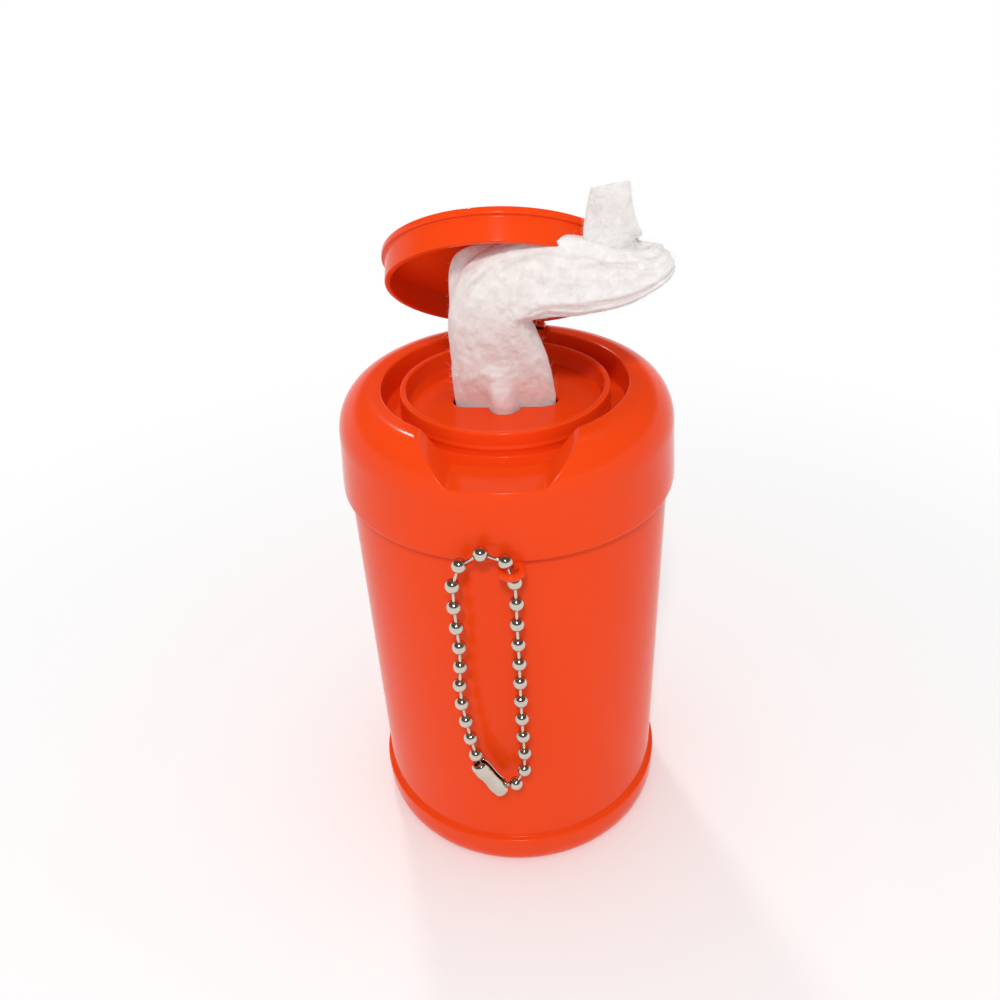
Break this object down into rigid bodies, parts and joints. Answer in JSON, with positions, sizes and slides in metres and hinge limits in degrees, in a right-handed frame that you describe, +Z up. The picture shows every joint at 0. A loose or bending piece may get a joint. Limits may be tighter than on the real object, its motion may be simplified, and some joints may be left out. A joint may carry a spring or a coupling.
{
  "type": "wipes canister",
  "caption": "Pocket wipes canister with a press-fit flip-lid closure, a wipe pulled out through the slit, and a ball chain.",
  "frame": {"origin": "centre of the flat base, on the surface that the canister stands on", "axes": "+Z up along the canister's axis, -Y towards the thumb notch and the chain, +X to the right seen from the front"},
  "size_m": [0.057, 0.0607, 0.1205],
  "materials": {
    "plastic": "glossy",
    "wipe": "matte",
    "nickel": "polished"
  },
  "bodies": {
    "canister": {"canister_cup": "plastic", "wipes_roll": "wipe"},
    "closure": {"closure": "plastic", "wipe": "wipe", "chain_bead_01": "nickel", "chain_bead_24": "nickel", "chain_bead_25": "nickel", "chain_bead_26": "nickel", "chain_bead_27": "nickel", "chain_link_24": "nickel", "chain_link_25": "nickel", "chain_link_26": "nickel", "chain_link_27": "nickel"},
    "lid": {"flip_lid": "plastic"},
    "chain": {"chain_bead_02": "nickel", "chain_bead_03": "nickel", "chain_bead_04": "nickel", "chain_bead_05": "nickel", "chain_bead_06": "nickel", "chain_bead_07": "nickel", "chain_bead_08": "nickel", "chain_bead_09": "nickel", "chain_bead_10": "nickel", "chain_bead_11": "nickel", "chain_bead_12": "nickel", "chain_bead_13": "nickel", "chain_bead_14": "nickel", "chain_bead_15": "nickel", "chain_bead_16": "nickel", "chain_bead_17": "nickel", "chain_bead_18": "nickel", "chain_bead_19": "nickel", "chain_bead_20": "nickel", "chain_bead_21": "nickel", "chain_bead_22": "nickel", "chain_bead_23": "nickel", "chain_link_01": "nickel", "chain_link_02": "nickel", "chain_link_03": "nickel", "chain_link_04": "nickel", "chain_link_05": "nickel", "chain_link_06": "nickel", "chain_link_07": "nickel", "chain_link_08": "nickel", "chain_link_09": "nickel", "chain_link_10": "nickel", "chain_link_11": "nickel", "chain_link_12": "nickel", "chain_link_14": "nickel", "chain_link_15": "nickel", "chain_link_16": "nickel", "chain_link_17": "nickel", "chain_link_18": "nickel", "chain_link_19": "nickel", "chain_link_20": "nickel", "chain_link_21": "nickel", "chain_link_22": "nickel", "chain_link_23": "nickel", "chain_connector": "nickel"}
  },
  "joints": [
    {"name": "closure_lift", "type": "slide", "parent": "canister", "child": "closure", "axis": [0, 0, 1], "range_m": [0, 0.01]},
    {"name": "lid_hinge", "type": "hinge", "parent": "closure", "child": "lid", "pos_m": [0, 0.027, 0.0871], "axis": [-1, 0, 0], "range_deg": [-40.5, 55], "deforming": ["wipe"]},
    {"name": "chain_swing", "type": "hinge", "parent": "closure", "child": "chain", "pos_m": [0.0024, -0.0301, 0.0693], "axis": [-0.997, 0, -0.0776], "range_deg": [0, 50]}
  ]
}
